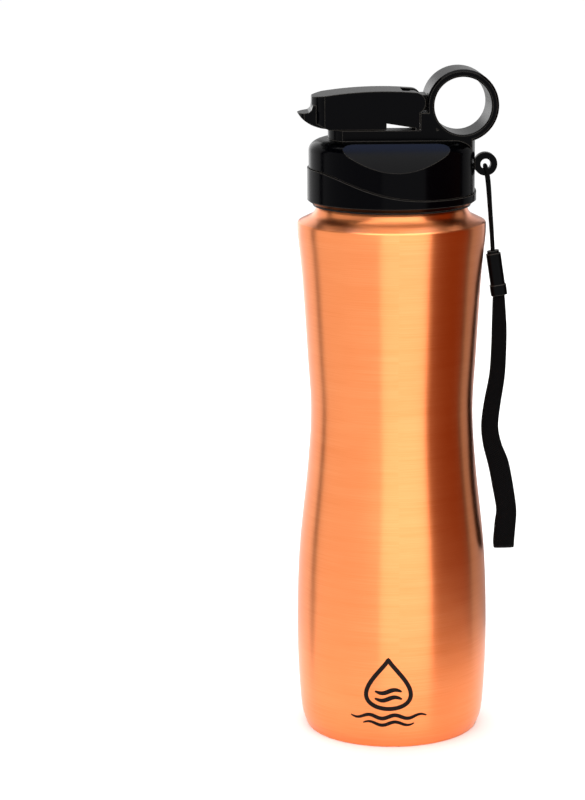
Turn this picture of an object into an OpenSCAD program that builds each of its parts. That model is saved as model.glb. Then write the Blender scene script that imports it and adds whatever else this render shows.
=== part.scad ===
// Copper water bottle with a black flip-lid sipper cap, a carry ring and a wrist strap.
// Millimetres, +Z up. The origin is the centre of the base, on the surface the bottle stands on.
// The lid's thumb lip points to -X; the carry ring and the strap lug are on the +X side.

/* [Bottle] */
// Thickness of the copper sheet
sheet_t = 1.0; // [0.8:0.1:1.2]
// Radius at the lower edge of the body
base_r = 34; // [33:0.5:35]
// Radius of the belly
belly_r = 37.3; // [36.5:0.1:38]
// Radius of the waist
waist_r = 31.5; // [30.5:0.1:33]
// Radius of the body 14 mm under the shoulder
upper_r = 35.2; // [35:0.1:35.8]
// Radius of the shoulder's edge
edge_r = 36.2; // [36:0.1:36.6]
// Height of the shoulder's outer edge
shoulder_z = 201.3; // [201:0.1:201.6]
// How far the base disc stands above the table
base_recess = 1.0; // [0.8:0.1:1.6]

/* [Neck] */
// Outer radius of the threaded neck
neck_r = 27.6; // [27.4:0.1:27.7]
// Inner radius of the mouth
mouth_r = 25.3; // [24.5:0.1:25.5]
// Height of the neck's rim
neck_top = 219; // [218.5:0.1:219]
// Lift of the cap in one full turn
thread_pitch = 4; // [3.6:0.1:4.4]
// How far each thread ridge stands out
thread_h = 0.8; // [0.6:0.1:0.9]

/* [Cap] */
// Outer radius of the upper cover
cover_r = 31.8; // [31.6:0.1:32]
// Outer radius of the raised grip band
band_r = 32.4; // [32.2:0.1:32.6]
// Underside of the cap
cap_bottom = 207.3; // [207.2:0.1:207.6]
// Flat top of the cover, without the saddle
cover_top = 232.7; // [232.5:0.1:233]
// Top of the saddle under the lid
saddle_top = 236.7; // [236.4:0.1:236.9]
// Width of the saddle, the lid and the carry ring
saddle_w = 23; // [22:0.5:24]

/* [Carry ring] */
// Distance of the ring's centre from the bottle's axis
ring_x = 26.2; // [26:0.1:26.6]
// Height of the ring's centre
ring_z = 245.8; // [245.6:0.1:246.2]
// Radius of the finger hole
ring_hole_r = 10.9; // [10.5:0.1:11]
// Outer radius of the ring
ring_outer_r = 13.75; // [13.6:0.05:13.8]

/* [Lid] */
// Distance of the hinge pin from the bottle's axis
hinge_x = 8; // [7.8:0.1:8.1]
// Height of the hinge pin
hinge_z = 247; // [246.8:0.1:247.1]
// Radius of the hinge pin
pin_r = 1.2; // [1:0.1:1.3]
// Height of the lid's crown
crown_z = 251.5; // [251.4:0.1:252]

/* [Spout] */
// Distance of the spout from the bottle's axis, towards the thumb lip
spout_x = -15; // [-15.4:0.1:-14.8]
// Outer radius of the spout
spout_r = 5; // [4.6:0.1:5.2]
// Radius of the drinking hole
spout_bore_r = 3.4; // [3:0.1:3.6]
// Height of the spout's rim
spout_top = 245.4; // [244.6:0.1:245.4]

/* [Strap] */
// Thickness of the strap's cord
cord_d = 1.5; // [1.2:0.1:1.6]
// Width of the webbing
webbing_w = 8; // [6:0.5:8]
// Thickness of the webbing
webbing_t = 1.2; // [0.8:0.1:1.4]

/* [Hidden] */
$fn = 128;
eps = 0.01;
spline_steps = 6;

// Neck: the shell's flare ends at lap_z, where the neck ring sits on it with a spigot inside
lap_z = 209;
spigot_z = 203;
spigot_gap = 0.05;
thread_bottom = 210.6;
thread_turns = 1.5;
ridge_root_w = 1.6;
ridge_crest_w = 0.8;
ridge_sink = 0.3;

// Cap: the sleeve turns on the neck, the roof presses the gasket onto the rim
sleeve_in_r = neck_r + 1.2;
sleeve_out_r = 30.3;
gasket_t = 1.6;
roof_z = neck_top + gasket_t;
roof_top = roof_z + 1.6;
cover_in_r = sleeve_out_r + 0.1;
cover_t = 1.6;
cover_ceiling = cover_top - cover_t;
bevel_axis_y = 12.85;
bevel_axis_z = 182.85;
bevel_r = 60;
bevel_wall = 1.4;
bevel_foot_z = 216;
drum_round_w = 6.3;
drum_round_h = 4.4;
hollow_top_r = 26;
hollow_round_h = 4;
wave_low = 212.1;
wave_rise = 9.6;
wave_turn = 47.6;
wave_start = -14;
wave_end = 32;
wave_step = 2;
wave_gap = 0.15;
foot_r = 29.5;
foot_chamfer_h = 2.1;
foot_top = 211;
chimney_r = 7.4;
chimney_wall = 1.6;
nose_r = 16;
saddle_nose = -24.4;
pillar_t = 6;
pillar_h = 6.5;
trough_d = 1.7;
trough_front = -1;
through = 40;

// Lug that holds the strap's cord
lug_x = 36;
lug_z = 222.6;
lug_r = 4.5;
lug_hole_r = 2;
lug_t = 3.2;
lug_stem_l = 3;
lug_stem_h = 4.4;

// Spout flange on the chimney, and the air valve in the roof
flange_z = 229;
flange_top = 230.3;
flange_r = 7.2;
hole_gap = 0.1;
valve_x = 12;
valve_stem_r = 1.5;
vent_x = 2.5;
vent_r = 0.8;

// Lid, hinged on the pin beside the carry ring
barrel_r = 4;
knuckle_r = 3.6;
knuckle_w = 13;
arm_len = 7;
arm_drop = 3.2;
arm_h = 5.8;
cheek_gap = 0.4;
pin_gap = 0.06;
pin_len = 20;
lid_gap = 0.3;
lid_bottom = saddle_top + lid_gap;
lid_front = -30.8;
crown_x = -4;
crown_r = 146;
lid_back = 9.8;
cavity_x0 = -21.6;
cavity_x1 = -4.6;
cavity_w = 17.2;
lid_ceiling = 248.2;
slot_x0 = -2.8;
slot_x1 = 8.6;

// Strap route: the cord's loop hangs on the lug, the ferrule joins it to the webbing, and
// webbing_share is the share of its full width that the tape shows where it is gathered
ferrule_x = 39.2;
ferrule_z = 188.9;
ferrule_tilt = -8.5;
ferrule_len = 17.5;
cord_route = [[39.2, -0.9, 188.4], [38.7, -1.0, 196], [38.0, -1.4, 205], [37.4, -2.2, 213],
              [36.9, -2.6, 217.5], [36.4, -2.7, 219.8], [36.1, -2.4, 221.1], [36.0, -1.5, 221.8],
              [36.0, 0, 221.9], [36.0, 1.5, 221.8], [36.1, 2.4, 221.1], [36.4, 2.7, 219.8],
              [36.9, 2.6, 217.5], [37.4, 2.2, 213], [38.0, 1.4, 205], [38.7, 1.0, 196],
              [39.2, 0.9, 188.4]];
webbing_leg = [[41.6, 0.8, 172], [41.7, 1.2, 168], [41.9, 1.8, 159], [41.8, 1.8, 150.5],
               [41.2, 1.8, 139.5], [39.4, 1.8, 128.5], [38.5, 1.8, 119.5], [39.6, 1.8, 112],
               [42.0, 1.8, 104.5], [43.7, 1.8, 96], [45.3, 1.8, 86], [44.9, 1.8, 79.5],
               [44.4, 1.8, 73]];
webbing_fold = [[44.4, 1.3, 71.2], [44.4, 0, 70.5]];
webbing_share = [0.55, 0.6, 0.68, 0.7, 0.72, 0.77, 0.8, 0.88, 1, 1, 0.96, 1, 1, 1];

// Points of a smooth curve that runs through every control point
function curve_point(a, b, c, d, t) =
    0.5 * (2 * b + (c - a) * t + (2 * a - 5 * b + 4 * c - d) * t * t
    + (3 * b - a - 3 * c + d) * t * t * t);
function spline(p, steps) = [
    for (i = [0:len(p) - 2], k = [0:steps - 1])
        curve_point(p[max(i - 1, 0)], p[i], p[i + 1], p[min(i + 2, len(p) - 1)], k / steps),
    p[len(p) - 1]
];
function reversed(p) = [for (i = [len(p) - 1:-1:0]) p[i]];

// Body outline as [radius, height], from the lower edge to the shoulder's edge
body_curve = spline([[base_r, 1], [base_r + 2, 9], [belly_r, 36], [belly_r - 0.9, 70],
                     [waist_r + 1.4, 104], [waist_r, 127], [waist_r + 1.2, 150],
                     [waist_r + 2.7, 175], [upper_r, 187], [edge_r - 0.1, 195.5],
                     [edge_r, shoulder_z - 1.6]], spline_steps);
// Shoulder outline, over its rounded edge and up into the neck
shoulder_curve = spline([[edge_r, shoulder_z - 0.9], [edge_r - 0.3, shoulder_z - 0.3],
                         [34.9, shoulder_z + 0.2], [33.3, shoulder_z + 1], [31.8, shoulder_z + 1.7],
                         [30.6, shoulder_z + 2.4], [29.7, shoulder_z + 3.4], [29, shoulder_z + 4.9],
                         [28.2, shoulder_z + 6.4], [neck_r, lap_z]], 2);
shoulder_last = len(shoulder_curve) - 1;

// ---------- Bottle ----------

// Drawn copper wall with a turned-in foot, an edged shoulder and a flared neck
module body_shell() color("#D9834F") {
    outer = concat([[base_r - 0.4, 0.2], [base_r, 1]], body_curve, shoulder_curve);
    // The inner wall turns the corner at the body's own last point
    inner_shoulder = [for (i = [shoulder_last:-1:2])
        shoulder_curve[i] - sheet_t * [0.5 + 0.5 * i / shoulder_last, 0.9 - 0.8 * i / shoulder_last]];
    inner_body = [for (p = reversed(body_curve)) p - [sheet_t, 0.1]];
    foot_in = base_r - 3.4;
    rotate_extrude()
        polygon(concat([[foot_in, 0], [base_r - 1, 0]], outer,
                       [[neck_r - sheet_t, lap_z]], inner_shoulder, inner_body,
                       [[base_r - sheet_t, base_recess], [foot_in, base_recess]]));
}

// Base disc that rests on the turned-in foot, with a stiffening ring pressed into it
module base_disc() color("#C9743F") {
    rim = base_r - sheet_t - 0.1;
    top = base_recess + sheet_t;
    rotate_extrude()
        polygon([[0, base_recess + 0.6], [18, base_recess + 0.6], [20, base_recess], [rim, base_recess],
                 [rim, top], [20.4, top], [18.4, top + 0.6], [0, top + 0.6]]);
}

// One thread ridge: a helix of trapezoid rings, from foot radius to crest radius
module thread_ridge(foot_r, crest_r, z0, turns) {
    step = 12;
    rings = floor(turns * 360 / step);
    section = [[foot_r, -ridge_root_w / 2], [crest_r, -ridge_crest_w / 2],
               [crest_r, ridge_crest_w / 2], [foot_r, ridge_root_w / 2]];
    points = [for (i = [0:rings], q = section)
        [q[0] * cos(i * step), q[0] * sin(i * step), z0 + thread_pitch * i * step / 360 + q[1]]];
    inward = crest_r < foot_r;
    sides = [for (i = [0:rings - 1], k = [0:3])
        let (a = 4 * i + k, b = 4 * i + (k + 1) % 4, face = [a, b, b + 4, a + 4])
        inward ? reversed(face) : face];
    caps = [[3, 2, 1, 0], [for (k = [0:3]) 4 * rings + k]];
    polyhedron(points, concat(sides, inward ? [for (f = caps) reversed(f)] : caps));
}

// Threaded neck ring, soldered onto the shell with its spigot inside
module neck_ring() color("#D58650") {
    spigot_r = neck_r - sheet_t - spigot_gap;
    rotate_extrude()
        polygon([[mouth_r, spigot_z], [spigot_r, spigot_z], [spigot_r, lap_z], [neck_r, lap_z],
                 [neck_r, neck_top - 0.5], [neck_r - 0.5, neck_top], [mouth_r, neck_top]]);
    thread_ridge(neck_r - ridge_sink, neck_r + thread_h, thread_bottom, thread_turns);
}

// ---------- Cap ----------

// Silicone ring between the neck's rim and the cap's roof
module neck_gasket() color("#E8E6E0")
    translate([0, 0, neck_top])
    difference() {
        cylinder(r = sleeve_in_r - 0.1, h = gasket_t);
        translate([0, 0, -eps]) cylinder(r = mouth_r, h = gasket_t + 2 * eps);
    }

// Height of the wavy edge at a distance s along the direction it falls in
function wave_t(s) = min(max((s - wave_start) / (wave_end - wave_start), 0), 1);
function wave_z(s) = wave_low + wave_rise * (1 + cos(180 * wave_t(s))) / 2;

// Everything below the wavy edge, shifted by dz
module below_wave(dz) {
    reach = 36;
    low_z = 190;
    edge = [for (s = [wave_start:wave_step:wave_end]) [s, wave_z(s) + dz]];
    rotate([0, 0, wave_turn - 90])
        rotate([90, 0, 0])
        linear_extrude(2 * reach, center = true)
        polygon(concat([[-reach, wave_z(-reach) + dz]], edge,
                       [[reach, wave_z(reach) + dz], [reach, low_z], [-reach, low_z]]));
}

// Threaded skirt: sleeve, roof and chimney, with the raised grip band round its foot
module cap_skirt() color("#101114") {
    band_in_r = sleeve_out_r - 1;
    corner = 0.8;
    difference() {
        union() {
            rotate_extrude()
                polygon([[sleeve_in_r, cap_bottom], [sleeve_out_r, cap_bottom],
                         [sleeve_out_r, roof_top - corner], [sleeve_out_r - corner, roof_top],
                         [0, roof_top], [0, roof_z], [sleeve_in_r, roof_z]]);
            rotate_extrude()
                polygon([[band_in_r, cap_bottom], [foot_r, cap_bottom],
                         [band_r, cap_bottom + foot_chamfer_h], [band_r, foot_top],
                         [band_in_r, foot_top]]);
            intersection() {
                rotate_extrude()
                    polygon([[band_in_r, foot_top - 1], [band_r, foot_top - 1],
                             [band_r, roof_top + 4], [band_in_r, roof_top + 4]]);
                below_wave(0);
            }
            translate([spout_x, 0, roof_top - 0.5])
                cylinder(r = chimney_r, h = flange_z - roof_top + 0.5);
        }
        translate([spout_x, 0, roof_z - 1]) cylinder(r = chimney_r - chimney_wall, h = through);
        translate([valve_x, 0, roof_z - 1]) cylinder(r = valve_stem_r + hole_gap, h = through);
    }
    thread_ridge(sleeve_in_r + ridge_sink, sleeve_in_r - thread_h,
                 thread_bottom + thread_pitch / 2 - 1, thread_turns);
}

// Outer body of the cover: a drum with a rounded top edge
module cover_drum() {
    arc = [for (a = [0:10:90])
        [cover_r - drum_round_w * (1 - cos(a)), cover_top - drum_round_h * (1 - sin(a))]];
    skirt_z = cap_bottom + foot_chamfer_h + eps;
    rotate_extrude()
        polygon(concat([[0, skirt_z], [cover_r, skirt_z]], arc, [[0, cover_top]]));
}

// Hollow of the cover, down over the skirt's sleeve
module cover_hollow()
    rotate_extrude()
        polygon([[0, cap_bottom - 5], [cover_in_r, cap_bottom - 5],
                 [cover_in_r, cover_ceiling - hollow_round_h], [hollow_top_r, cover_ceiling],
                 [0, cover_ceiling]]);

// What lies in front of and behind the two bevelled faces of radius r
module beyond_bevels(r) {
    inner_y = 14;
    outer_y = 60;
    for (side = [0, 1])
        mirror([0, side, 0])
        difference() {
            translate([-through, -outer_y, bevel_foot_z])
                cube([2 * through, outer_y - inner_y, through]);
            translate([0, bevel_axis_y, bevel_axis_z])
                rotate([0, 90, 0])
                cylinder(r = r, h = 2 * through + 2, center = true);
        }
}

// A solid of revolution about a line along Y
module across(x, z)
    translate([x, 0, z])
        rotate([90, 0, 0])
        children();

// Bar of the saddle's width between two x, with a round nose of radius nose_r at nose_x
module nosed_bar(nose_x, x1, z0, z1)
    intersection() {
        translate([nose_x, -saddle_w / 2, z0]) cube([x1 - nose_x, saddle_w, z1 - z0]);
        union() {
            translate([nose_x + nose_r, 0, z0 - 1]) cylinder(r = nose_r, h = z1 - z0 + 2);
            translate([nose_x + nose_r, -saddle_w, z0 - 1])
                cube([x1 - nose_x, 2 * saddle_w, z1 - z0 + 2]);
        }
    }

// Cover of the cap: drum, saddle, carry ring, hinge knuckle and strap lug in one moulding.
// A trough runs from the air vent to the back of the saddle, so the gap under the lid is open.
module cap_cover() color("#0C0D10") {
    ring_w = saddle_w / 2;
    ring_core_r = 5;
    hole_edge = 0.5;
    rim_edge = 0.8;
    saddle_foot = cover_ceiling - 5;
    difference() {
        union() {
            difference() {
                cover_drum();
                beyond_bevels(bevel_r);
            }
            intersection() {
                nosed_bar(saddle_nose, cover_r + 1, saddle_foot, saddle_top);
                translate([0, 0, saddle_foot]) cylinder(r = cover_r, h = through);
            }
            translate([lid_back + lid_gap, -ring_w, saddle_top - eps])
                cube([pillar_t, saddle_w, pillar_h]);
            across(hinge_x, hinge_z) cylinder(r = knuckle_r, h = knuckle_w, center = true);
            translate([hinge_x, -knuckle_w / 2, hinge_z - arm_drop])
                cube([arm_len, knuckle_w, arm_h]);
            across(ring_x, ring_z)
                rotate_extrude()
                polygon([[ring_core_r, -ring_w], [ring_outer_r - rim_edge, -ring_w],
                         [ring_outer_r, rim_edge - ring_w], [ring_outer_r, ring_w - rim_edge],
                         [ring_outer_r - rim_edge, ring_w], [ring_core_r, ring_w]]);
            across(lug_x, lug_z) cylinder(r = lug_r, h = lug_t, center = true);
            translate([cover_in_r + 0.2, -lug_t / 2, lug_z - lug_stem_h / 2])
                cube([lug_stem_l, lug_t, lug_stem_h]);
        }
        difference() {
            cover_hollow();
            beyond_bevels(bevel_r - bevel_wall);
        }
        below_wave(wave_gap);
        across(ring_x, ring_z)
            rotate_extrude()
            polygon([[0, -ring_w - 1], [ring_hole_r + hole_edge, -ring_w - 1],
                     [ring_hole_r + hole_edge, -ring_w], [ring_hole_r, hole_edge - ring_w],
                     [ring_hole_r, ring_w - hole_edge], [ring_hole_r + hole_edge, ring_w],
                     [ring_hole_r + hole_edge, ring_w + 1], [0, ring_w + 1]]);
        across(lug_x, lug_z) cylinder(r = lug_hole_r, h = lug_t + 2, center = true);
        across(hinge_x, hinge_z) cylinder(r = pin_r, h = saddle_w, center = true);
        translate([spout_x, 0, cover_ceiling - 1]) cylinder(r = spout_r + hole_gap, h = through);
        translate([vent_x, 0, cover_ceiling - 1]) cylinder(r = vent_r, h = cover_t + 6);
        translate([slot_x0, trough_front, saddle_top - trough_d])
            cube([slot_x1 - slot_x0 - 1, saddle_w, trough_d + 1]);
    }
}

// Drinking spout: flange under the cover, tube through the saddle, lip at the rim
module spout() color("#2A2C30") {
    lip = 0.4;
    translate([spout_x, 0, 0])
        rotate_extrude()
        polygon([[spout_bore_r, flange_z], [flange_r, flange_z], [flange_r, flange_top],
                 [spout_r, flange_top], [spout_r, spout_top - 2.4], [spout_r + lip, spout_top - 1.8],
                 [spout_r + lip, spout_top - 0.5], [spout_r, spout_top],
                 [spout_bore_r, spout_top]]);
}

// Washer between the spout's flange and the cover
module spout_seal() color("#D8D6D0")
    translate([spout_x, 0, flange_top])
    difference() {
        cylinder(r = flange_r, h = cover_ceiling - flange_top);
        translate([0, 0, -eps]) cylinder(r = spout_r + hole_gap, h = 2);
    }

// Umbrella valve that lets air in as one drinks: disc under the roof, bead above it
module vent_valve() color("#D8D6D0")
    translate([valve_x, 0, roof_z])
    rotate_extrude()
        polygon([[0, -0.9], [3.6, -0.6], [3.6, 0], [valve_stem_r, 0], [valve_stem_r, roof_top - roof_z],
                 [2.2, roof_top - roof_z], [1.4, roof_top - roof_z + 1.4],
                 [0, roof_top - roof_z + 1.4]]);

// ---------- Lid ----------

// Steel pin through the lid's two cheeks and the cover's knuckle
module hinge_pin() color("#B9BCC0")
    across(hinge_x, hinge_z) cylinder(r = pin_r, h = pin_len, center = true);

// Side outline of the lid without its barrel, as [x, z]
function crown_point(x) = [x, crown_z - crown_r + sqrt(crown_r * crown_r - pow(x - crown_x, 2))];
lid_side = concat([for (x = [lid_front + 0.2:2.5:hinge_x]) crown_point(x)],
                  [crown_point(hinge_x), [lid_back, hinge_z], [lid_back, lid_bottom],
                   [slot_x1, lid_bottom], [slot_x1 - 0.4, lid_bottom + 0.6],
                   [slot_x0, lid_bottom + 2.4], [slot_x0, lid_bottom], [saddle_nose - 0.2, lid_bottom],
                   [lid_front, lid_bottom + 3], [lid_front, 243]]);

// Thumb lip at the front of the lid, as [x, z]
lip_under = spline([[-36.1, 242.9], [-34.4, 240.9], [-31.2, 238.7], [-27.5, 237.4],
                    [saddle_nose - 0.2, lid_bottom]], 4);
lip_over = [[-24, 246], [-30.4, 246], [-30.9, 244.2], [-31.9, 243.3], [-33.8, 243]];

// Bar of an [x, z] outline across the whole width
module side_bar(outline, w)
    rotate([90, 0, 0])
        linear_extrude(w, center = true)
        polygon(outline);

// Flip lid: hollow shell over the spout, thumb lip in front, two cheeks round the hinge pin
module flip_lid() color("#0C0D10") {
    lip_w = 15;
    lip_r = 13;
    lip_tip = -36.1;
    low_z = saddle_top - 6;
    difference() {
        union() {
            intersection() {
                side_bar(lid_side, saddle_w + 4);
                nosed_bar(lid_front - 0.2, lid_back + 4, low_z, crown_z + 4);
            }
            intersection() {
                side_bar(concat(lip_over, lip_under), lip_w);
                translate([lip_tip + lip_r, 0, low_z]) cylinder(r = lip_r, h = through);
            }
            across(hinge_x, hinge_z) cylinder(r = barrel_r, h = saddle_w, center = true);
        }
        translate([cavity_x0, -cavity_w / 2, low_z])
            cube([cavity_x1 - cavity_x0, cavity_w, lid_ceiling - low_z]);
        translate([hinge_x - barrel_r - cheek_gap, -knuckle_w / 2 - cheek_gap, low_z])
            cube([through, knuckle_w + 2 * cheek_gap, through]);
        across(hinge_x, hinge_z)
            cylinder(r = pin_r + pin_gap, h = pin_len + 0.6, center = true);
    }
}

// Soft stopper under the lid that closes the spout
module lid_plug() color("#D8D6D0") {
    pad_z = spout_top + 0.3;
    translate([spout_x, 0, 0])
        rotate_extrude()
        polygon([[0, pad_z - 1.8], [2, pad_z - 1.8], [2.6, pad_z - 1.2], [2.6, pad_z], [5.6, pad_z],
                 [5.6, lid_ceiling], [0, lid_ceiling]]);
}

// ---------- Strap ----------

// Tube or tape along a route: section is [across X, across the other way], and each ring
// may be narrower by its share
module swept(route, section, shares = []) {
    n = len(section);
    last = len(route) - 1;
    rings = [for (i = [0:last])
        let (ahead = route[min(i + 1, last)] - route[max(i - 1, 0)],
             tangent = ahead / norm(ahead),
             across_x = [1, 0, 0] - tangent[0] * tangent,
             side = across_x / norm(across_x) * (len(shares) > 0 ? shares[i] : 1),
             other = cross(tangent, across_x / norm(across_x)))
        [for (q = section) route[i] + q[0] * side + q[1] * other]];
    points = [for (r = rings, p = r) p];
    sides = [for (i = [0:last - 1], k = [0:n - 1])
        let (a = n * i + k, b = n * i + (k + 1) % n)
        [a, a + n, b + n, b]];
    polyhedron(points, concat(sides, [[for (k = [0:n - 1]) k],
                                      [for (k = [n - 1:-1:0]) n * last + k]]));
}

// Cord loop from the ferrule, through the lug and back
module strap_cord() color("#16171A")
    swept(cord_route, [for (a = [22.5:45:360]) [cord_d / 2 * cos(a), cord_d / 2 * sin(a)]]);

// Upright block with rounded corners: size w by d, corner radius r, from height z up by h
module rounded_block(w, d, r, z, h)
    translate([0, 0, z])
        linear_extrude(h)
        union() {
            square([w - 2 * r, d], center = true);
            square([w, d - 2 * r], center = true);
            for (x = [-1, 1], y = [-1, 1])
                translate([x * (w / 2 - r), y * (d / 2 - r)]) circle(r);
        }

// Moulded ferrule that holds the cord's ends and the webbing's ends
module strap_ferrule() color("#121316")
    translate([ferrule_x, 0, ferrule_z])
        rotate([0, ferrule_tilt, 0]) {
            rounded_block(4.6, 3.8, 1.4, -1.2, 1.2);
            rounded_block(5.6, 4.8, 1.6, -13.5, 12.3);
            rounded_block(6.3, 5.2, 1.6, -ferrule_len, 4);
        }

// Webbing loop, two layers side by side with a fold at the bottom
module strap_webbing() color("#17181B") {
    half_w = webbing_w / 2;
    half_t = webbing_t / 2;
    front = [for (p = webbing_leg) [p[0], -p[1], p[2]]];
    back = [for (p = webbing_leg) p];
    fold_front = [for (p = webbing_fold) [p[0], -p[1], p[2]]];
    swept(concat(front, fold_front, [webbing_fold[0]], reversed(back)),
          [[-half_w, -half_t], [half_w, -half_t], [half_w, half_t], [-half_w, half_t]],
          concat(webbing_share, [1], reversed(webbing_share)));
}

body_shell();
base_disc();
neck_ring();
neck_gasket();
cap_skirt();
cap_cover();
spout();
spout_seal();
vent_valve();
hinge_pin();
flip_lid();
lid_plug();
strap_cord();
strap_ferrule();
strap_webbing();
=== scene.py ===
"""Copper water bottle with a flip-lid sipper cap and a wrist strap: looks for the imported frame.

Metres, +Z up, origin at the centre of the base. The thumb lip points to -X, the strap is on the +X side.
"""

import math

import bpy
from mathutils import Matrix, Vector


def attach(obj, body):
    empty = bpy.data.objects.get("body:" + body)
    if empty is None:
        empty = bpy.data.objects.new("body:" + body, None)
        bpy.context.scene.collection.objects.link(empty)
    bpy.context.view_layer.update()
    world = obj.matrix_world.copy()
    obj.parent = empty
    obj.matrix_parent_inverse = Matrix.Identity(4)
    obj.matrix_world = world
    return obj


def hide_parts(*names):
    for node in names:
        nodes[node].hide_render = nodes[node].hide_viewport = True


MM = 0.001

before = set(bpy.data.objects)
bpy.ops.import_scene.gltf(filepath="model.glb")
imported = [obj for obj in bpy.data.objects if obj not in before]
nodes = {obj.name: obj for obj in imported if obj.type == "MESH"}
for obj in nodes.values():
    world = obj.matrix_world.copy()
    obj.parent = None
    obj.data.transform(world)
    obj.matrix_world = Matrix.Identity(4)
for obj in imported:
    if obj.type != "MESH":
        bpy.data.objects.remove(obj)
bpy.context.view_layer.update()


# ---------- Small helpers ----------

def linear(hex_colour):
    """Linear RGBA of an sRGB hex colour."""
    channels = [int(hex_colour[i:i + 2], 16) / 255 for i in (1, 3, 5)]
    return [c / 12.92 if c <= 0.04045 else ((c + 0.055) / 1.055) ** 2.4 for c in channels] + [1.0]


def new_material(name):
    """A node material, its tree and its Principled shader."""
    material = bpy.data.materials.new(name)
    material.use_nodes = True
    tree = material.node_tree
    shader = tree.nodes["Principled BSDF"]
    return material, tree, shader


def add(tree, kind, settings=None, inputs=None, stops=()):
    """Adds a node, sets its properties and colour stops, and fills its sockets with values or links."""
    made = tree.nodes.new(kind)
    for key, value in (settings or {}).items():
        setattr(made, key, value)
    for key, value in (inputs or {}).items():
        if isinstance(value, bpy.types.NodeSocket):
            tree.links.new(value, made.inputs[key])
        else:
            made.inputs[key].default_value = value
    for i, (position, colour) in enumerate(stops):
        element = made.color_ramp.elements[i] if i < 2 else made.color_ramp.elements.new(position)
        element.position = position
        element.color = linear(colour)
    return made


def link(obj, name):
    """Names an object and puts it in the scene."""
    obj.name = name
    bpy.context.scene.collection.objects.link(obj)
    return obj


def mesh_object(name, points, faces, smooth=True):
    """A mesh object from points in metres and faces."""
    mesh = bpy.data.meshes.new(name)
    mesh.from_pydata([tuple(p) for p in points], [], faces)
    mesh.update()
    mesh.polygons.foreach_set("use_smooth", [smooth] * len(mesh.polygons))
    return link(bpy.data.objects.new(name, mesh), name)


def smooth_path(points, steps):
    """Points of a smooth curve through every point of a route."""
    path = []
    for i in range(len(points) - 1):
        a, b = points[max(i - 1, 0)], points[i]
        c, d = points[i + 1], points[min(i + 2, len(points) - 1)]
        for k in range(steps):
            t = k / steps
            path.append(0.5 * (2 * b + (c - a) * t + (2 * a - 5 * b + 4 * c - d) * t ** 2
                               + (3 * b - a - 3 * c + d) * t ** 3))
    path.append(points[-1])
    return path


# ---------- Camera ----------

CAMERA_AZIMUTH = math.radians(-4.5)
CAMERA_DISTANCE = 1.0
CAMERA_HEIGHT = 0.343
CAMERA_PITCH = math.radians(12)
# Share of the image's height by which the bottle's axis stands right of the middle
AXIS_OFFSET = 0.124
SENSOR = 36.0
LENS = 118.0

camera_data = bpy.data.cameras.new("camera")
camera_data.sensor_fit = "VERTICAL"
camera_data.sensor_height = SENSOR
camera_data.lens = LENS
camera_data.shift_x = -AXIS_OFFSET
camera = link(bpy.data.objects.new("camera", camera_data), "camera")
camera.location = (math.sin(CAMERA_AZIMUTH) * CAMERA_DISTANCE,
                   -math.cos(CAMERA_AZIMUTH) * CAMERA_DISTANCE, CAMERA_HEIGHT)
camera.rotation_euler = (math.pi / 2 - CAMERA_PITCH, 0, CAMERA_AZIMUTH)
bpy.context.scene.camera = camera


# ---------- Materials ----------

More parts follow.
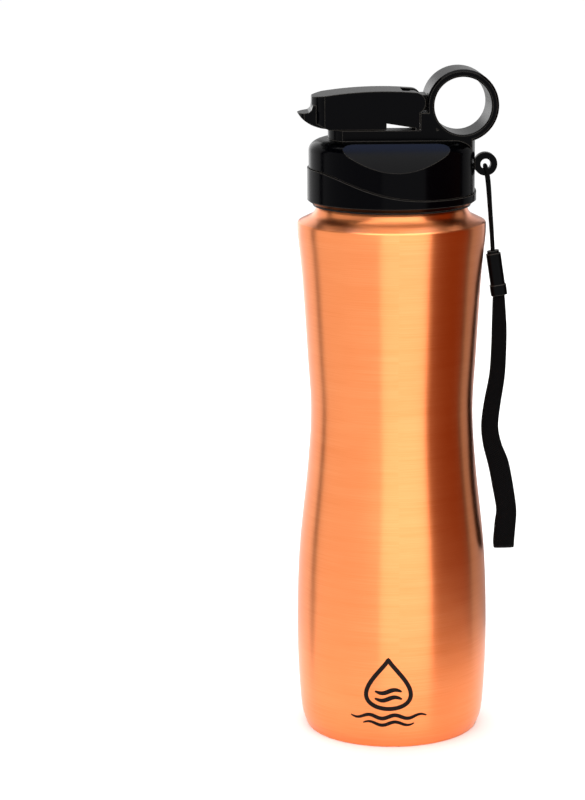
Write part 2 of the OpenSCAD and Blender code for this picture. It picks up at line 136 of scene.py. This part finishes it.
def brushed_copper():
    """Drawn copper, satin-brushed round the axis and lacquered: tall soft highlights, fine level lines."""
    material, tree, shader = new_material("brushed_copper")
    where = add(tree, "ShaderNodeTexCoord").outputs["Object"]
    split = add(tree, "ShaderNodeSeparateXYZ", inputs={0: where})
    angle = add(tree, "ShaderNodeMath", {"operation": "ARCTAN2"},
                {0: split.outputs["X"], 1: split.outputs["Y"]})
    # A brush line is about 0.25 mm high and 30 mm long
    across = add(tree, "ShaderNodeMath", {"operation": "MULTIPLY"},
                 {0: split.outputs["Z"], 1: 1 / (0.25 * MM)})
    along = add(tree, "ShaderNodeMath", {"operation": "MULTIPLY"}, {0: angle.outputs[0], 1: 1.2})
    lines_at = add(tree, "ShaderNodeCombineXYZ", inputs={0: along.outputs[0], 2: across.outputs[0]})
    lines = add(tree, "ShaderNodeTexNoise", inputs={"Vector": lines_at.outputs[0], "Scale": 1.0,
                                                    "Detail": 3.0, "Roughness": 0.6})
    # Bands about 4 mm high where the brush pressed more or less
    bands_at = add(tree, "ShaderNodeVectorMath", {"operation": "MULTIPLY"},
                   {0: lines_at.outputs[0], 1: (0.5, 1, 0.06)})
    bands = add(tree, "ShaderNodeTexNoise",
                inputs={"Vector": bands_at.outputs[0], "Scale": 1.0, "Detail": 2.0})
    # Slight clouding of the lacquer, patches about 25 mm across
    clouds = add(tree, "ShaderNodeTexNoise",
                 inputs={"Vector": where, "Scale": 1 / (25 * MM), "Detail": 3.0})
    tone = add(tree, "ShaderNodeMix", {"data_type": "FLOAT"},
               {"Factor": 0.3, 2: lines.outputs["Fac"], 3: bands.outputs["Fac"]})
    base = add(tree, "ShaderNodeValToRGB", inputs={"Fac": tone.outputs[0]},
               stops=[(0.25, "#F0894F"), (0.5, "#F8955C"), (0.75, "#FDA068")])
    haze = add(tree, "ShaderNodeValToRGB", inputs={"Fac": clouds.outputs["Fac"]},
               stops=[(0.3, "#F6E2D4"), (0.7, "#FFFFFF")])
    warm = add(tree, "ShaderNodeMix", {"data_type": "RGBA", "blend_type": "MULTIPLY"},
               {"Factor": 0.25, 6: base.outputs["Color"], 7: haze.outputs["Color"]})
    tree.links.new(warm.outputs[2], shader.inputs["Base Color"])
    rough = add(tree, "ShaderNodeMapRange", inputs={"Value": tone.outputs[0], "From Min": 0.3,
                                                    "From Max": 0.7, "To Min": 0.30, "To Max": 0.35})
    tree.links.new(rough.outputs[0], shader.inputs["Roughness"])
    bump = add(tree, "ShaderNodeBump", inputs={"Strength": 0.06, "Distance": 0.02 * MM,
                                               "Height": lines.outputs["Fac"]})
    tree.links.new(bump.outputs[0], shader.inputs["Normal"])
    tangent = add(tree, "ShaderNodeTangent", {"direction_type": "RADIAL", "axis": "Z"})
    tree.links.new(tangent.outputs[0], shader.inputs["Tangent"])
    shader.inputs["Metallic"].default_value = 1.0
    # The brush lines run round the bottle, so a highlight spreads up and down the wall
    shader.inputs["Anisotropic"].default_value = 0.85
    shader.inputs["Anisotropic Rotation"].default_value = 0.25
    return material


# Paler grey painted along convex plastic edges as a highlight
EDGE_HIGHLIGHT_GREY = "#3A3733"


def moulded_plastic(name, colour, worn_colour, roughness, edge_mm, gloss):
    """Injection-moulded plastic from a polished tool: faint ripple, fine rub marks, softened edges with a
    paler painted highlight along them.
    """
    material, tree, shader = new_material(name)
    where = add(tree, "ShaderNodeTexCoord").outputs["Object"]
    # Ripple of the moulded skin, about 6 mm from crest to crest
    ripple = add(tree, "ShaderNodeTexNoise",
                 inputs={"Vector": where, "Scale": 1 / (6 * MM), "Detail": 1.0})
    # Rub marks and dust, about 0.6 mm
    rub = add(tree, "ShaderNodeTexNoise", inputs={"Vector": where, "Scale": 1 / (0.6 * MM), "Detail": 4.0,
                                                  "Roughness": 0.7})
    rough = add(tree, "ShaderNodeMapRange", inputs={"Value": rub.outputs["Fac"], "From Min": 0.35,
                                                    "From Max": 0.8, "To Min": roughness,
                                                    "To Max": roughness + 0.12})
    tree.links.new(rough.outputs[0], shader.inputs["Roughness"])
    base = add(tree, "ShaderNodeValToRGB", inputs={"Fac": rub.outputs["Fac"]},
               stops=[(0.3, colour), (0.9, worn_colour)])
    edge = add(tree, "ShaderNodeBevel", {"samples": 6}, {"Radius": edge_mm * MM})
    # Painted highlight: convex edges turn a paler grey, as a line about as wide as the edge's rounding
    surface = add(tree, "ShaderNodeNewGeometry").outputs["Normal"]
    flatness = add(tree, "ShaderNodeVectorMath", {"operation": "DOT_PRODUCT"},
                   {0: edge.outputs[0], 1: surface})
    painted_edge_highlight = add(tree, "ShaderNodeMapRange", inputs={"Value": flatness.outputs["Value"], "From Min": 0.99,
                                                     "From Max": 0.86, "To Min": 0, "To Max": 1})
    finish = add(tree, "ShaderNodeMix", {"data_type": "RGBA"},
                 {"Factor": painted_edge_highlight.outputs[0], 6: base.outputs["Color"], 7: linear(EDGE_HIGHLIGHT_GREY)})
    tree.links.new(finish.outputs[2], shader.inputs["Base Color"])
    bump = add(tree, "ShaderNodeBump", inputs={"Strength": 0.06, "Distance": 0.05 * MM,
                                               "Height": ripple.outputs["Fac"], "Normal": edge.outputs[0]})
    tree.links.new(bump.outputs[0], shader.inputs["Normal"])
    shader.inputs["Specular IOR Level"].default_value = gloss
    return material


def silicone():
    """Moulded food-grade silicone: matt, slightly milky, with a dusty bloom."""
    material, tree, shader = new_material("silicone")
    where = add(tree, "ShaderNodeTexCoord").outputs["Object"]
    # Bloom in specks about 1.5 mm across
    bloom = add(tree, "ShaderNodeTexNoise",
                inputs={"Vector": where, "Scale": 1 / (1.5 * MM), "Detail": 4.0})
    base = add(tree, "ShaderNodeValToRGB", inputs={"Fac": bloom.outputs["Fac"]},
               stops=[(0.3, "#C9C6BE"), (0.7, "#DEDCD5")])
    tree.links.new(base.outputs["Color"], shader.inputs["Base Color"])
    rough = add(tree, "ShaderNodeMapRange",
                inputs={"Value": bloom.outputs["Fac"], "To Min": 0.5, "To Max": 0.65})
    tree.links.new(rough.outputs[0], shader.inputs["Roughness"])
    bump = add(tree, "ShaderNodeBump", inputs={"Strength": 0.1, "Distance": 0.05 * MM,
                                               "Height": bloom.outputs["Fac"]})
    tree.links.new(bump.outputs[0], shader.inputs["Normal"])
    shader.inputs["IOR"].default_value = 1.43
    shader.inputs["Subsurface Weight"].default_value = 0.15
    shader.inputs["Subsurface Radius"].default_value = (2 * MM, 1.5 * MM, 1.2 * MM)
    shader.inputs["Subsurface Scale"].default_value = 1.0
    return material


def ground_steel():
    """Ground stainless pin: fine rings round its length."""
    material, tree, shader = new_material("ground_steel")
    where = add(tree, "ShaderNodeTexCoord").outputs["Object"]
    # Grinding rings about 0.1 mm apart along the pin
    stretched = add(tree, "ShaderNodeVectorMath", {"operation": "MULTIPLY"},
                    {0: where, 1: (0.5 / MM, 12 / MM, 0.5 / MM)})
    rings = add(tree, "ShaderNodeTexNoise",
                inputs={"Vector": stretched.outputs[0], "Scale": 1.0, "Detail": 2.0})
    base = add(tree, "ShaderNodeValToRGB", inputs={"Fac": rings.outputs["Fac"]},
               stops=[(0.3, "#A9ACB0"), (0.7, "#C6C8CB")])
    tree.links.new(base.outputs["Color"], shader.inputs["Base Color"])
    rough = add(tree, "ShaderNodeMapRange",
                inputs={"Value": rings.outputs["Fac"], "To Min": 0.2, "To Max": 0.35})
    tree.links.new(rough.outputs[0], shader.inputs["Roughness"])
    shader.inputs["Metallic"].default_value = 1.0
    return material


def braided_nylon():
    """Black nylon cord: crossed strands about 0.5 mm wide round the cord."""
    material, tree, shader = new_material("braided_nylon")
    uv = add(tree, "ShaderNodeTexCoord").outputs["UV"]
    # U is millimetres round the cord and V is millimetres along it; the strands slant both ways
    waves = []
    for turn in (1, -1):
        slanted = add(tree, "ShaderNodeMapping", inputs={"Vector": uv, "Scale": (4.0 * turn, 1.2, 1)})
        waves.append(add(tree, "ShaderNodeTexWave", {"wave_type": "BANDS", "bands_direction": "DIAGONAL"},
                         {"Vector": slanted.outputs[0], "Scale": 1.0, "Distortion": 0.3}))
    strands = add(tree, "ShaderNodeMath", {"operation": "MAXIMUM"},
                  {0: waves[0].outputs["Fac"], 1: waves[1].outputs["Fac"]})
    # Painted shade: the cord darkens between the strands, where the braid sits low
    base = add(tree, "ShaderNodeValToRGB", inputs={"Fac": strands.outputs[0]},
               stops=[(0.2, "#010101"), (0.9, "#060607")])
    tree.links.new(base.outputs["Color"], shader.inputs["Base Color"])
    bump = add(tree, "ShaderNodeBump", inputs={"Strength": 0.5, "Distance": 0.15 * MM,
                                               "Height": strands.outputs[0]})
    tree.links.new(bump.outputs[0], shader.inputs["Normal"])
    shader.inputs["Roughness"].default_value = 0.6
    shader.inputs["Specular IOR Level"].default_value = 0.04
    shader.inputs["Sheen Weight"].default_value = 0.005
    shader.inputs["Sheen Roughness"].default_value = 0.4
    return material


def woven_nylon():
    """Black nylon webbing in plain weave: ribs across the tape, warp threads along it, a little fuzz."""
    material, tree, shader = new_material("woven_nylon")
    uv = add(tree, "ShaderNodeTexCoord").outputs["UV"]
    split = add(tree, "ShaderNodeSeparateXYZ", inputs={0: uv})
    # U is millimetres across the tape and V is millimetres along it; a rib is 0.9 mm, a warp thread 0.5 mm
    rib_at = add(tree, "ShaderNodeMath", {"operation": "MULTIPLY"},
                 {0: split.outputs["Y"], 1: 2 * math.pi / 0.9})
    rib = add(tree, "ShaderNodeMath", {"operation": "SINE"}, {0: rib_at.outputs[0]})
    warp_at = add(tree, "ShaderNodeMath", {"operation": "MULTIPLY"},
                  {0: split.outputs["X"], 1: 2 * math.pi / 1.0})
    warp = add(tree, "ShaderNodeMath", {"operation": "SINE"}, {0: warp_at.outputs[0]})
    weave = add(tree, "ShaderNodeMath", {"operation": "MULTIPLY"}, {0: rib.outputs[0], 1: warp.outputs[0]})
    fuzz = add(tree, "ShaderNodeTexNoise",
               inputs={"Vector": uv, "Scale": 3.0, "Detail": 5.0, "Roughness": 0.7})
    height = add(tree, "ShaderNodeMath", {"operation": "MULTIPLY_ADD"},
                 {0: fuzz.outputs["Fac"], 1: 0.8, 2: weave.outputs[0]})
    # Painted shade: the tape darkens where the weave and fuzz sit low, between the threads
    shade = add(tree, "ShaderNodeMapRange",
                inputs={"Value": height.outputs[0], "From Min": -1, "From Max": 1.6})
    base = add(tree, "ShaderNodeValToRGB", inputs={"Fac": shade.outputs[0]},
               stops=[(0.1, "#000000"), (0.6, "#020203"), (1.0, "#060607")])
    tree.links.new(base.outputs["Color"], shader.inputs["Base Color"])
    bump = add(tree, "ShaderNodeBump", inputs={"Strength": 0.6, "Distance": 0.2 * MM,
                                               "Height": height.outputs[0]})
    tree.links.new(bump.outputs[0], shader.inputs["Normal"])
    shader.inputs["Roughness"].default_value = 0.55
    shader.inputs["Specular IOR Level"].default_value = 0.04
    shader.inputs["Sheen Weight"].default_value = 0.006
    shader.inputs["Sheen Roughness"].default_value = 0.4
    return material


def printed_ink():
    """Black pad-printed ink: thin, slightly glossy, with a few pinholes."""
    material, tree, shader = new_material("printed_ink")
    where = add(tree, "ShaderNodeTexCoord").outputs["Object"]
    # Pinholes and grain about 0.4 mm
    grain = add(tree, "ShaderNodeTexNoise",
                inputs={"Vector": where, "Scale": 1 / (0.4 * MM), "Detail": 3.0})
    base = add(tree, "ShaderNodeValToRGB", inputs={"Fac": grain.outputs["Fac"]},
               stops=[(0.3, "#040201"), (0.8, "#160A05")])
    tree.links.new(base.outputs["Color"], shader.inputs["Base Color"])
    rough = add(tree, "ShaderNodeMapRange",
                inputs={"Value": grain.outputs["Fac"], "To Min": 0.3, "To Max": 0.5})
    tree.links.new(rough.outputs[0], shader.inputs["Roughness"])
    shader.inputs["Specular IOR Level"].default_value = 0.12
    return material


COPPER = brushed_copper()
CAP_PLASTIC = moulded_plastic("gloss_cap_plastic", "#000001", "#020203", 0.12, 0.5, 0.03)
SPOUT_PLASTIC = moulded_plastic("satin_spout_plastic", "#141518", "#1C1D20", 0.30, 0.3, 0.4)
FERRULE_PLASTIC = moulded_plastic("satin_ferrule_plastic", "#000001", "#030304", 0.28, 0.5, 0.04)
SILICONE = silicone()
STEEL = ground_steel()
CORD = braided_nylon()
WEBBING = woven_nylon()
INK = printed_ink()

NODE_MATERIALS = {
    "body_shell": COPPER, "base_disc": COPPER, "neck_ring": COPPER,
    "neck_gasket": SILICONE, "spout_seal": SILICONE, "vent_valve": SILICONE, "lid_plug": SILICONE,
    "cap_skirt": CAP_PLASTIC, "cap_cover": CAP_PLASTIC, "flip_lid": CAP_PLASTIC,
    "spout": SPOUT_PLASTIC, "hinge_pin": STEEL,
    "strap_cord": CORD, "strap_ferrule": FERRULE_PLASTIC, "strap_webbing": WEBBING,
}
for name, material in NODE_MATERIALS.items():
    nodes[name].data.materials.clear()
    nodes[name].data.materials.append(material)


# ---------- Strap ----------

CORD_D = 1.5 * MM
WEBBING_W = 8 * MM
WEBBING_T = 1.2 * MM
# How square the tape's section is: 1 is an ellipse, towards 0 a rectangle
WEBBING_SQUARENESS = 0.45
CORD_STEPS = 5
WEBBING_STEPS = 6
CORD_ROUTE = [(39.2, -0.9, 188.4), (38.7, -1.0, 196), (38.0, -1.4, 205), (37.4, -2.2, 213),
              (36.9, -2.6, 217.5), (36.4, -2.7, 219.8), (36.1, -2.4, 221.1), (36.0, -1.5, 221.8),
              (36.0, 0, 221.9), (36.0, 1.5, 221.8), (36.1, 2.4, 221.1), (36.4, 2.7, 219.8),
              (36.9, 2.6, 217.5), (37.4, 2.2, 213), (38.0, 1.4, 205), (38.7, 1.0, 196),
              (39.2, 0.9, 188.4)]
WEBBING_LEG = [(41.6, 0.8, 172), (41.7, 1.2, 168), (41.9, 1.8, 159), (41.8, 1.8, 150.5),
               (41.2, 1.8, 139.5), (39.4, 1.8, 128.5), (38.5, 1.8, 119.5), (39.6, 1.8, 112),
               (42.0, 1.8, 104.5), (43.7, 1.8, 96), (45.3, 1.8, 86), (44.9, 1.8, 79.5),
               (44.4, 1.8, 73)]
WEBBING_FOLD = [(44.4, 1.3, 71.2), (44.4, 0, 70.5)]
# Share of its full width that the tape shows at each point, where it is gathered into the ferrule
WEBBING_SHARE = [0.55, 0.6, 0.68, 0.7, 0.72, 0.77, 0.8, 0.88, 1, 1, 0.96, 1, 1, 1]


def route(points):
    """Route points in metres."""
    return [Vector(p) * MM for p in points]


def sweep(name, path, section, material, shares=None):
    """A closed strip along a path: section is a loop of (across X, across the other way) in metres.

    A ring may be narrower by its share. UV is in millimetres round the section and along the path.
    """
    points, faces, uvs = [], [], []
    count = len(section)
    round_mm = [0.0]
    for a, b in zip(section, section[1:] + section[:1]):
        round_mm.append(round_mm[-1] + math.dist(a, b) / MM)
    along_mm = 0.0
    for i, centre in enumerate(path):
        tangent = (path[min(i + 1, len(path) - 1)] - path[max(i - 1, 0)]).normalized()
        side = (Vector((1, 0, 0)) - tangent.x * tangent).normalized()
        other = tangent.cross(side)
        share = shares[i] if shares else 1
        points += [centre + u * share * side + v * other for u, v in section]
        if i:
            step_mm = (centre - path[i - 1]).length / MM
            for k in range(count):
                a, b = (i - 1) * count + k, (i - 1) * count + (k + 1) % count
                faces.append((a, a + count, b + count, b))
                uvs += [(round_mm[k], along_mm), (round_mm[k], along_mm + step_mm),
                        (round_mm[k + 1], along_mm + step_mm), (round_mm[k + 1], along_mm)]
            along_mm += step_mm
    last = (len(path) - 1) * count
    faces.append(tuple(range(count)))
    faces.append(tuple(last + k for k in reversed(range(count))))
    uvs += [(0, 0)] * (2 * count)
    obj = mesh_object(name, points, faces)
    layer = obj.data.uv_layers.new(name="UVMap")
    for loop, uv in zip(layer.data, uvs):
        loop.uv = uv
    obj.data.materials.append(material)
    return obj


def ellipse_loop(half_w, half_t, count, power=1.0):
    """A loop of points round an ellipse; a power under 1 squares it off."""
    loop = []
    for k in range(count):
        a = 2 * math.pi * k / count
        c, s = math.cos(a), math.sin(a)
        loop.append((math.copysign(abs(c) ** power, c) * half_w,
                     math.copysign(abs(s) ** power, s) * half_t))
    return loop


cord_path = smooth_path(route(CORD_ROUTE), CORD_STEPS)
cord = sweep("strap_cord_braid", cord_path, ellipse_loop(CORD_D / 2, CORD_D / 2, 16), CORD)
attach(cord, "strap")
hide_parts("strap_cord")

# The tape goes down its front leg, round the fold and up the back leg, which mirrors the front one
front_leg = [(x, -y, z) for x, y, z in WEBBING_LEG]
front_fold = [(x, -y, z) for x, y, z in WEBBING_FOLD]
webbing_route = front_leg + front_fold + WEBBING_FOLD[:1] + WEBBING_LEG[::-1]
webbing_path = smooth_path(route(webbing_route), WEBBING_STEPS)
share_points = [Vector((s, 0, 0)) for s in WEBBING_SHARE + [1] + WEBBING_SHARE[::-1]]
webbing_shares = [min(1, p.x) for p in smooth_path(share_points, WEBBING_STEPS)]
webbing_section = ellipse_loop(WEBBING_W / 2, WEBBING_T / 2, 24, WEBBING_SQUARENESS)
webbing = sweep("strap_webbing_tape", webbing_path, webbing_section, WEBBING, webbing_shares)
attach(webbing, "strap")
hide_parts("strap_webbing")


# ---------- Print on the wall ----------

# Outline of the lower body as (radius, height), the same points as the wall's
WALL = [(34, 1), (36, 9), (37.3, 36), (36.4, 70), (32.9, 104), (31.5, 127)]
PRINT_TURN = math.radians(-6.5)
PRINT_T = 0.05 * MM
PRINT_GAP = 0.02 * MM
# A ripple's crests are this far apart, in millimetres
RIPPLE_PITCH = 10
RIPPLE_STEPS = 72
wall_path = smooth_path([Vector((r, 0, z)) * MM for r, z in WALL], 6)


def wall_radius(z):
    """Radius of the wall at height z."""
    for a, b in zip(wall_path, wall_path[1:]):
        if a.z <= z <= b.z:
            return a.x + (b.x - a.x) * (z - a.z) / (b.z - a.z)


def on_wall(across, z, stand_off):
    """The point on the wall a distance across from the print's middle line, at height z."""
    radius = wall_radius(z)
    turn = PRINT_TURN + across / radius
    radius += stand_off
    return Vector((math.sin(turn) * radius, -math.cos(turn) * radius, z))


def ink_stroke(points, faces, path, half_widths, closed):
    """Adds a thin solid stroke along a path of (across, height) in metres."""
    count = len(path)
    first = len(points)
    for i, (u, v) in enumerate(path):
        before = path[i - 1] if i or closed else path[0]
        after = path[(i + 1) % count] if i < count - 1 or closed else path[-1]
        run = math.hypot(after[0] - before[0], after[1] - before[1])
        nu, nv = (before[1] - after[1]) / run, (after[0] - before[0]) / run
        w = half_widths[i]
        low, high = PRINT_GAP, PRINT_GAP + PRINT_T
        for side, stand_off in ((-1, low), (1, low), (1, high), (-1, high)):
            points.append(on_wall(u + side * nu * w, v + side * nv * w, stand_off))
    rounds = count if closed else count - 1
    for i in range(rounds):
        a, b = first + 4 * i, first + 4 * ((i + 1) % count)
        for k in range(4):
            faces.append((a + k, a + (k + 1) % 4, b + (k + 1) % 4, b + k))
    if not closed:
        faces.append((first + 3, first + 2, first + 1, first))
        last = first + 4 * (count - 1)
        faces.append((last, last + 1, last + 2, last + 3))


def drop_outline(width, z_low, z_tip, count):
    """Outline of a water drop as (across, height), from its lowest point round; a circle drawn to a tip."""
    taper = 0.75
    # The taper narrows the drop, and this makes its width good
    widen = 1.55
    outline = []
    for i in range(count):
        t = 2 * math.pi * i / count
        lift = (1 - math.cos(t)) / 2
        outline.append((width / 2 * math.sin(t) * (1 - lift) ** taper * widen * MM,
                        (z_low + (z_tip - z_low) * lift) * MM))
    return outline


def water_line(length, z, rise):
    """A level wavy line as (across, height), with its length, height and rise in millimetres."""
    across = [(i / RIPPLE_STEPS - 0.5) * length for i in range(RIPPLE_STEPS + 1)]
    return [(u * MM, (z + rise * math.sin(2 * math.pi * u / RIPPLE_PITCH)) * MM) for u in across]


def front_print():
    """Generic printed mark: a water drop with ripples in it and under it."""
    points, faces = [], []
    outline = drop_outline(16, 16.5, 36.5, 96)
    ink_stroke(points, faces, outline, [0.85 * MM] * len(outline), True)
    # Each ripple as length, height and half width in millimetres; it thins out to both ends
    swell = [math.sin(math.pi * (k + 1) / (RIPPLE_STEPS + 2)) ** 0.4 for k in range(RIPPLE_STEPS + 1)]
    for length, z, half_width in ((10.4, 23.6, 0.9), (10.6, 20.6, 0.9), (30, 13.2, 0.8), (20, 10.4, 0.7)):
        line = water_line(length, z, 0.7)
        ink_stroke(points, faces, line, [half_width * MM * share for share in swell], False)
    obj = mesh_object("front_print", points, faces, smooth=False)
    obj.data.materials.append(INK)
    return obj


mark = front_print()
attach(mark, "bottle")


# ---------- Floor and light ----------

def pale_floor():
    """Material of the floor: pale, matt and plain."""
    material, tree, shader = new_material("pale_floor")
    shader.inputs["Base Color"].default_value = linear("#FAFAFA")
    shader.inputs["Roughness"].default_value = 1.0
    shader.inputs["Specular IOR Level"].default_value = 0.0
    return material


FLOOR = pale_floor()
FLOOR_NEAR_R = 0.14
FLOOR_R = 60
# Height that every softbox faces
LIT_HEIGHT = 0.13


def floor_ring(name, inner, outer, mirrored):
    """A level ring of floor round the bottle; only a mirrored one shows in the object's gloss."""
    count = 64
    points = [(r * math.cos(2 * math.pi * k / count), r * math.sin(2 * math.pi * k / count), 0)
              for r in (inner, outer) for k in range(count)]
    if inner:
        faces = [(k, count + k, count + (k + 1) % count, (k + 1) % count) for k in range(count)]
    else:
        points = points[count:]
        faces = [tuple(range(count))]
    obj = mesh_object(name, points, faces, smooth=False)
    obj.data.materials.append(FLOOR)
    obj.visible_glossy = mirrored
    obj.visible_shadow = mirrored
    return obj


def softbox(name, azimuth, distance, height, size, radiance, colour="#FFFFFF", lights_matt=True):
    """A rectangular area light that faces the bottle from azimuth degrees right of the camera.

    One that doesn't light matt surfaces only shows as a reflection.
    """
    data = bpy.data.lights.new(name, "AREA")
    data.shape = "RECTANGLE"
    data.size, data.size_y = size
    data.energy = radiance * math.pi * size[0] * size[1]
    data.color = linear(colour)[:3]
    light = link(bpy.data.objects.new(name, data), name)
    turn = math.radians(azimuth) + CAMERA_AZIMUTH
    light.location = (math.sin(turn) * distance, -math.cos(turn) * distance, height)
    aim = Vector((0, 0, LIT_HEIGHT)) - light.location
    light.rotation_euler = aim.to_track_quat("-Z", "Y").to_euler()
    light.visible_camera = False
    light.visible_diffuse = lights_matt
    return light


floor_ring("floor_near", 0, FLOOR_NEAR_R, True)
floor_ring("floor_far", FLOOR_NEAR_R, FLOOR_R, False)
softbox("key_right", 17, 1.0, 0.05, (1.20, 1.8), 1.95)
softbox("fill_left", -61, 1.0, 0.05, (2.05, 1.8), 1.12)
softbox("rim_left", -142, 1.0, 0.05, (1.05, 1.6), 1.1)
softbox("rim_right", 140, 1.0, 0.05, (1.00, 1.6), 0.45)
softbox("warm_card", 77, 1.0, 0.05, (1.20, 1.8), 0.24, "#FF9448")
softbox("back_card", 180, 1.3, 0.30, (1.60, 0.8), 0.5)
softbox("shoulder_card", 180, 0.62, 1.15, (1.3, 0.5), 1.6)
softbox("top_card", 180, 0.22, 1.2, (0.9, 0.22), 7.0, "#B0C4FF", lights_matt=False)
softbox("front_top", 12, 0.80, 1.05, (1.6, 0.80), 2.6, lights_matt=False)
softbox("overhead", 12, 0.20, 1.30, (1.6, 0.62), 5.0, lights_matt=False)

world = bpy.data.worlds.new("studio")
world.use_nodes = True
background = world.node_tree.nodes["Background"]
background.inputs["Color"].default_value = linear("#FCFCFC")
background.inputs["Strength"].default_value = 1.08
world.cycles_visibility.glossy = False
bpy.context.scene.world = world
bpy.context.scene.view_settings.view_transform = "Standard"
bpy.context.scene.view_settings.look = "None"
